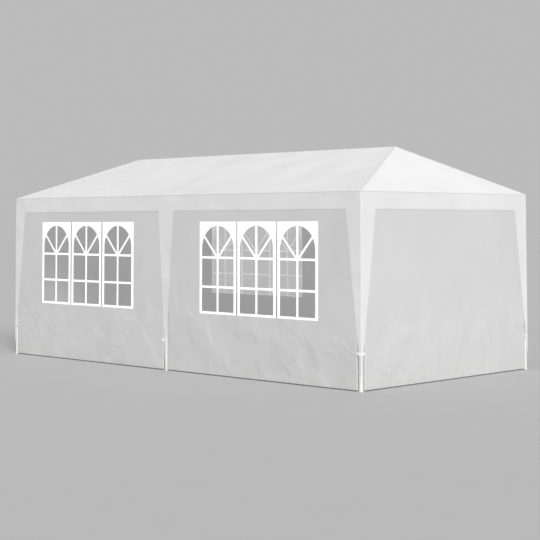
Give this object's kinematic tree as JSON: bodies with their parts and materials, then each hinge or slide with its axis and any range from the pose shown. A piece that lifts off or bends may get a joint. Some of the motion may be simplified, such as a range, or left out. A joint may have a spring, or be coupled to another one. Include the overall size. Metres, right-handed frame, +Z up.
{
  "type": "marquee tent",
  "caption": "Rectangular marquee tent: a hipped cloth roof with a tapered valance over a steel tube frame, closed by cloth walls with long clear windows.",
  "frame": {"origin": "on the ground, under the middle of the tent", "axes": "+X along the long sides to the right end, +Y from the front side to the back side, +Z up"},
  "size_m": [6.0364, 3.0364, 2.59],
  "materials": {
    "cover_cloth": "white coated polyethylene cloth",
    "wall_cloth": "white coated polyethylene cloth",
    "window_film": "clear flexible film",
    "coated_steel": "white powder coat",
    "joint_plastic": "moulded white plastic"
  },
  "bodies": {
    "root": {"roof_cover": "cover_cloth", "valance_front": "cover_cloth", "valance_back": "cover_cloth", "valance_left_end": "cover_cloth", "valance_right_end": "cover_cloth", "wall_front_left": "wall_cloth", "wall_front_right": "wall_cloth", "wall_back_left": "wall_cloth", "wall_back_right": "wall_cloth", "wall_left_end": "wall_cloth", "wall_right_end": "wall_cloth", "window_front_left": "window_film", "window_front_right": "window_film", "window_back_left": "window_film", "window_back_right": "window_film", "leg_front_left": "coated_steel", "leg_front_middle": "coated_steel", "leg_front_right": "coated_steel", "leg_back_left": "coated_steel", "leg_back_middle": "coated_steel", "leg_back_right": "coated_steel", "eave_tube_front_left": "coated_steel", "eave_tube_front_right": "coated_steel", "eave_tube_back_left": "coated_steel", "eave_tube_back_right": "coated_steel", "eave_tube_left_end": "coated_steel", "eave_tube_right_end": "coated_steel", "hip_tube_front_left": "coated_steel", "hip_tube_front_right": "coated_steel", "hip_tube_back_left": "coated_steel", "hip_tube_back_right": "coated_steel", "rafter_tube_front": "coated_steel", "rafter_tube_back": "coated_steel", "ridge_tube_left": "coated_steel", "ridge_tube_right": "coated_steel", "corner_joint_front_left": "joint_plastic", "corner_joint_front_right": "joint_plastic", "corner_joint_back_left": "joint_plastic", "corner_joint_back_right": "joint_plastic", "eave_joint_front": "joint_plastic", "eave_joint_back": "joint_plastic", "ridge_joint_left": "joint_plastic", "ridge_joint_middle": "joint_plastic", "ridge_joint_right": "joint_plastic"}
  },
  "joints": []
}
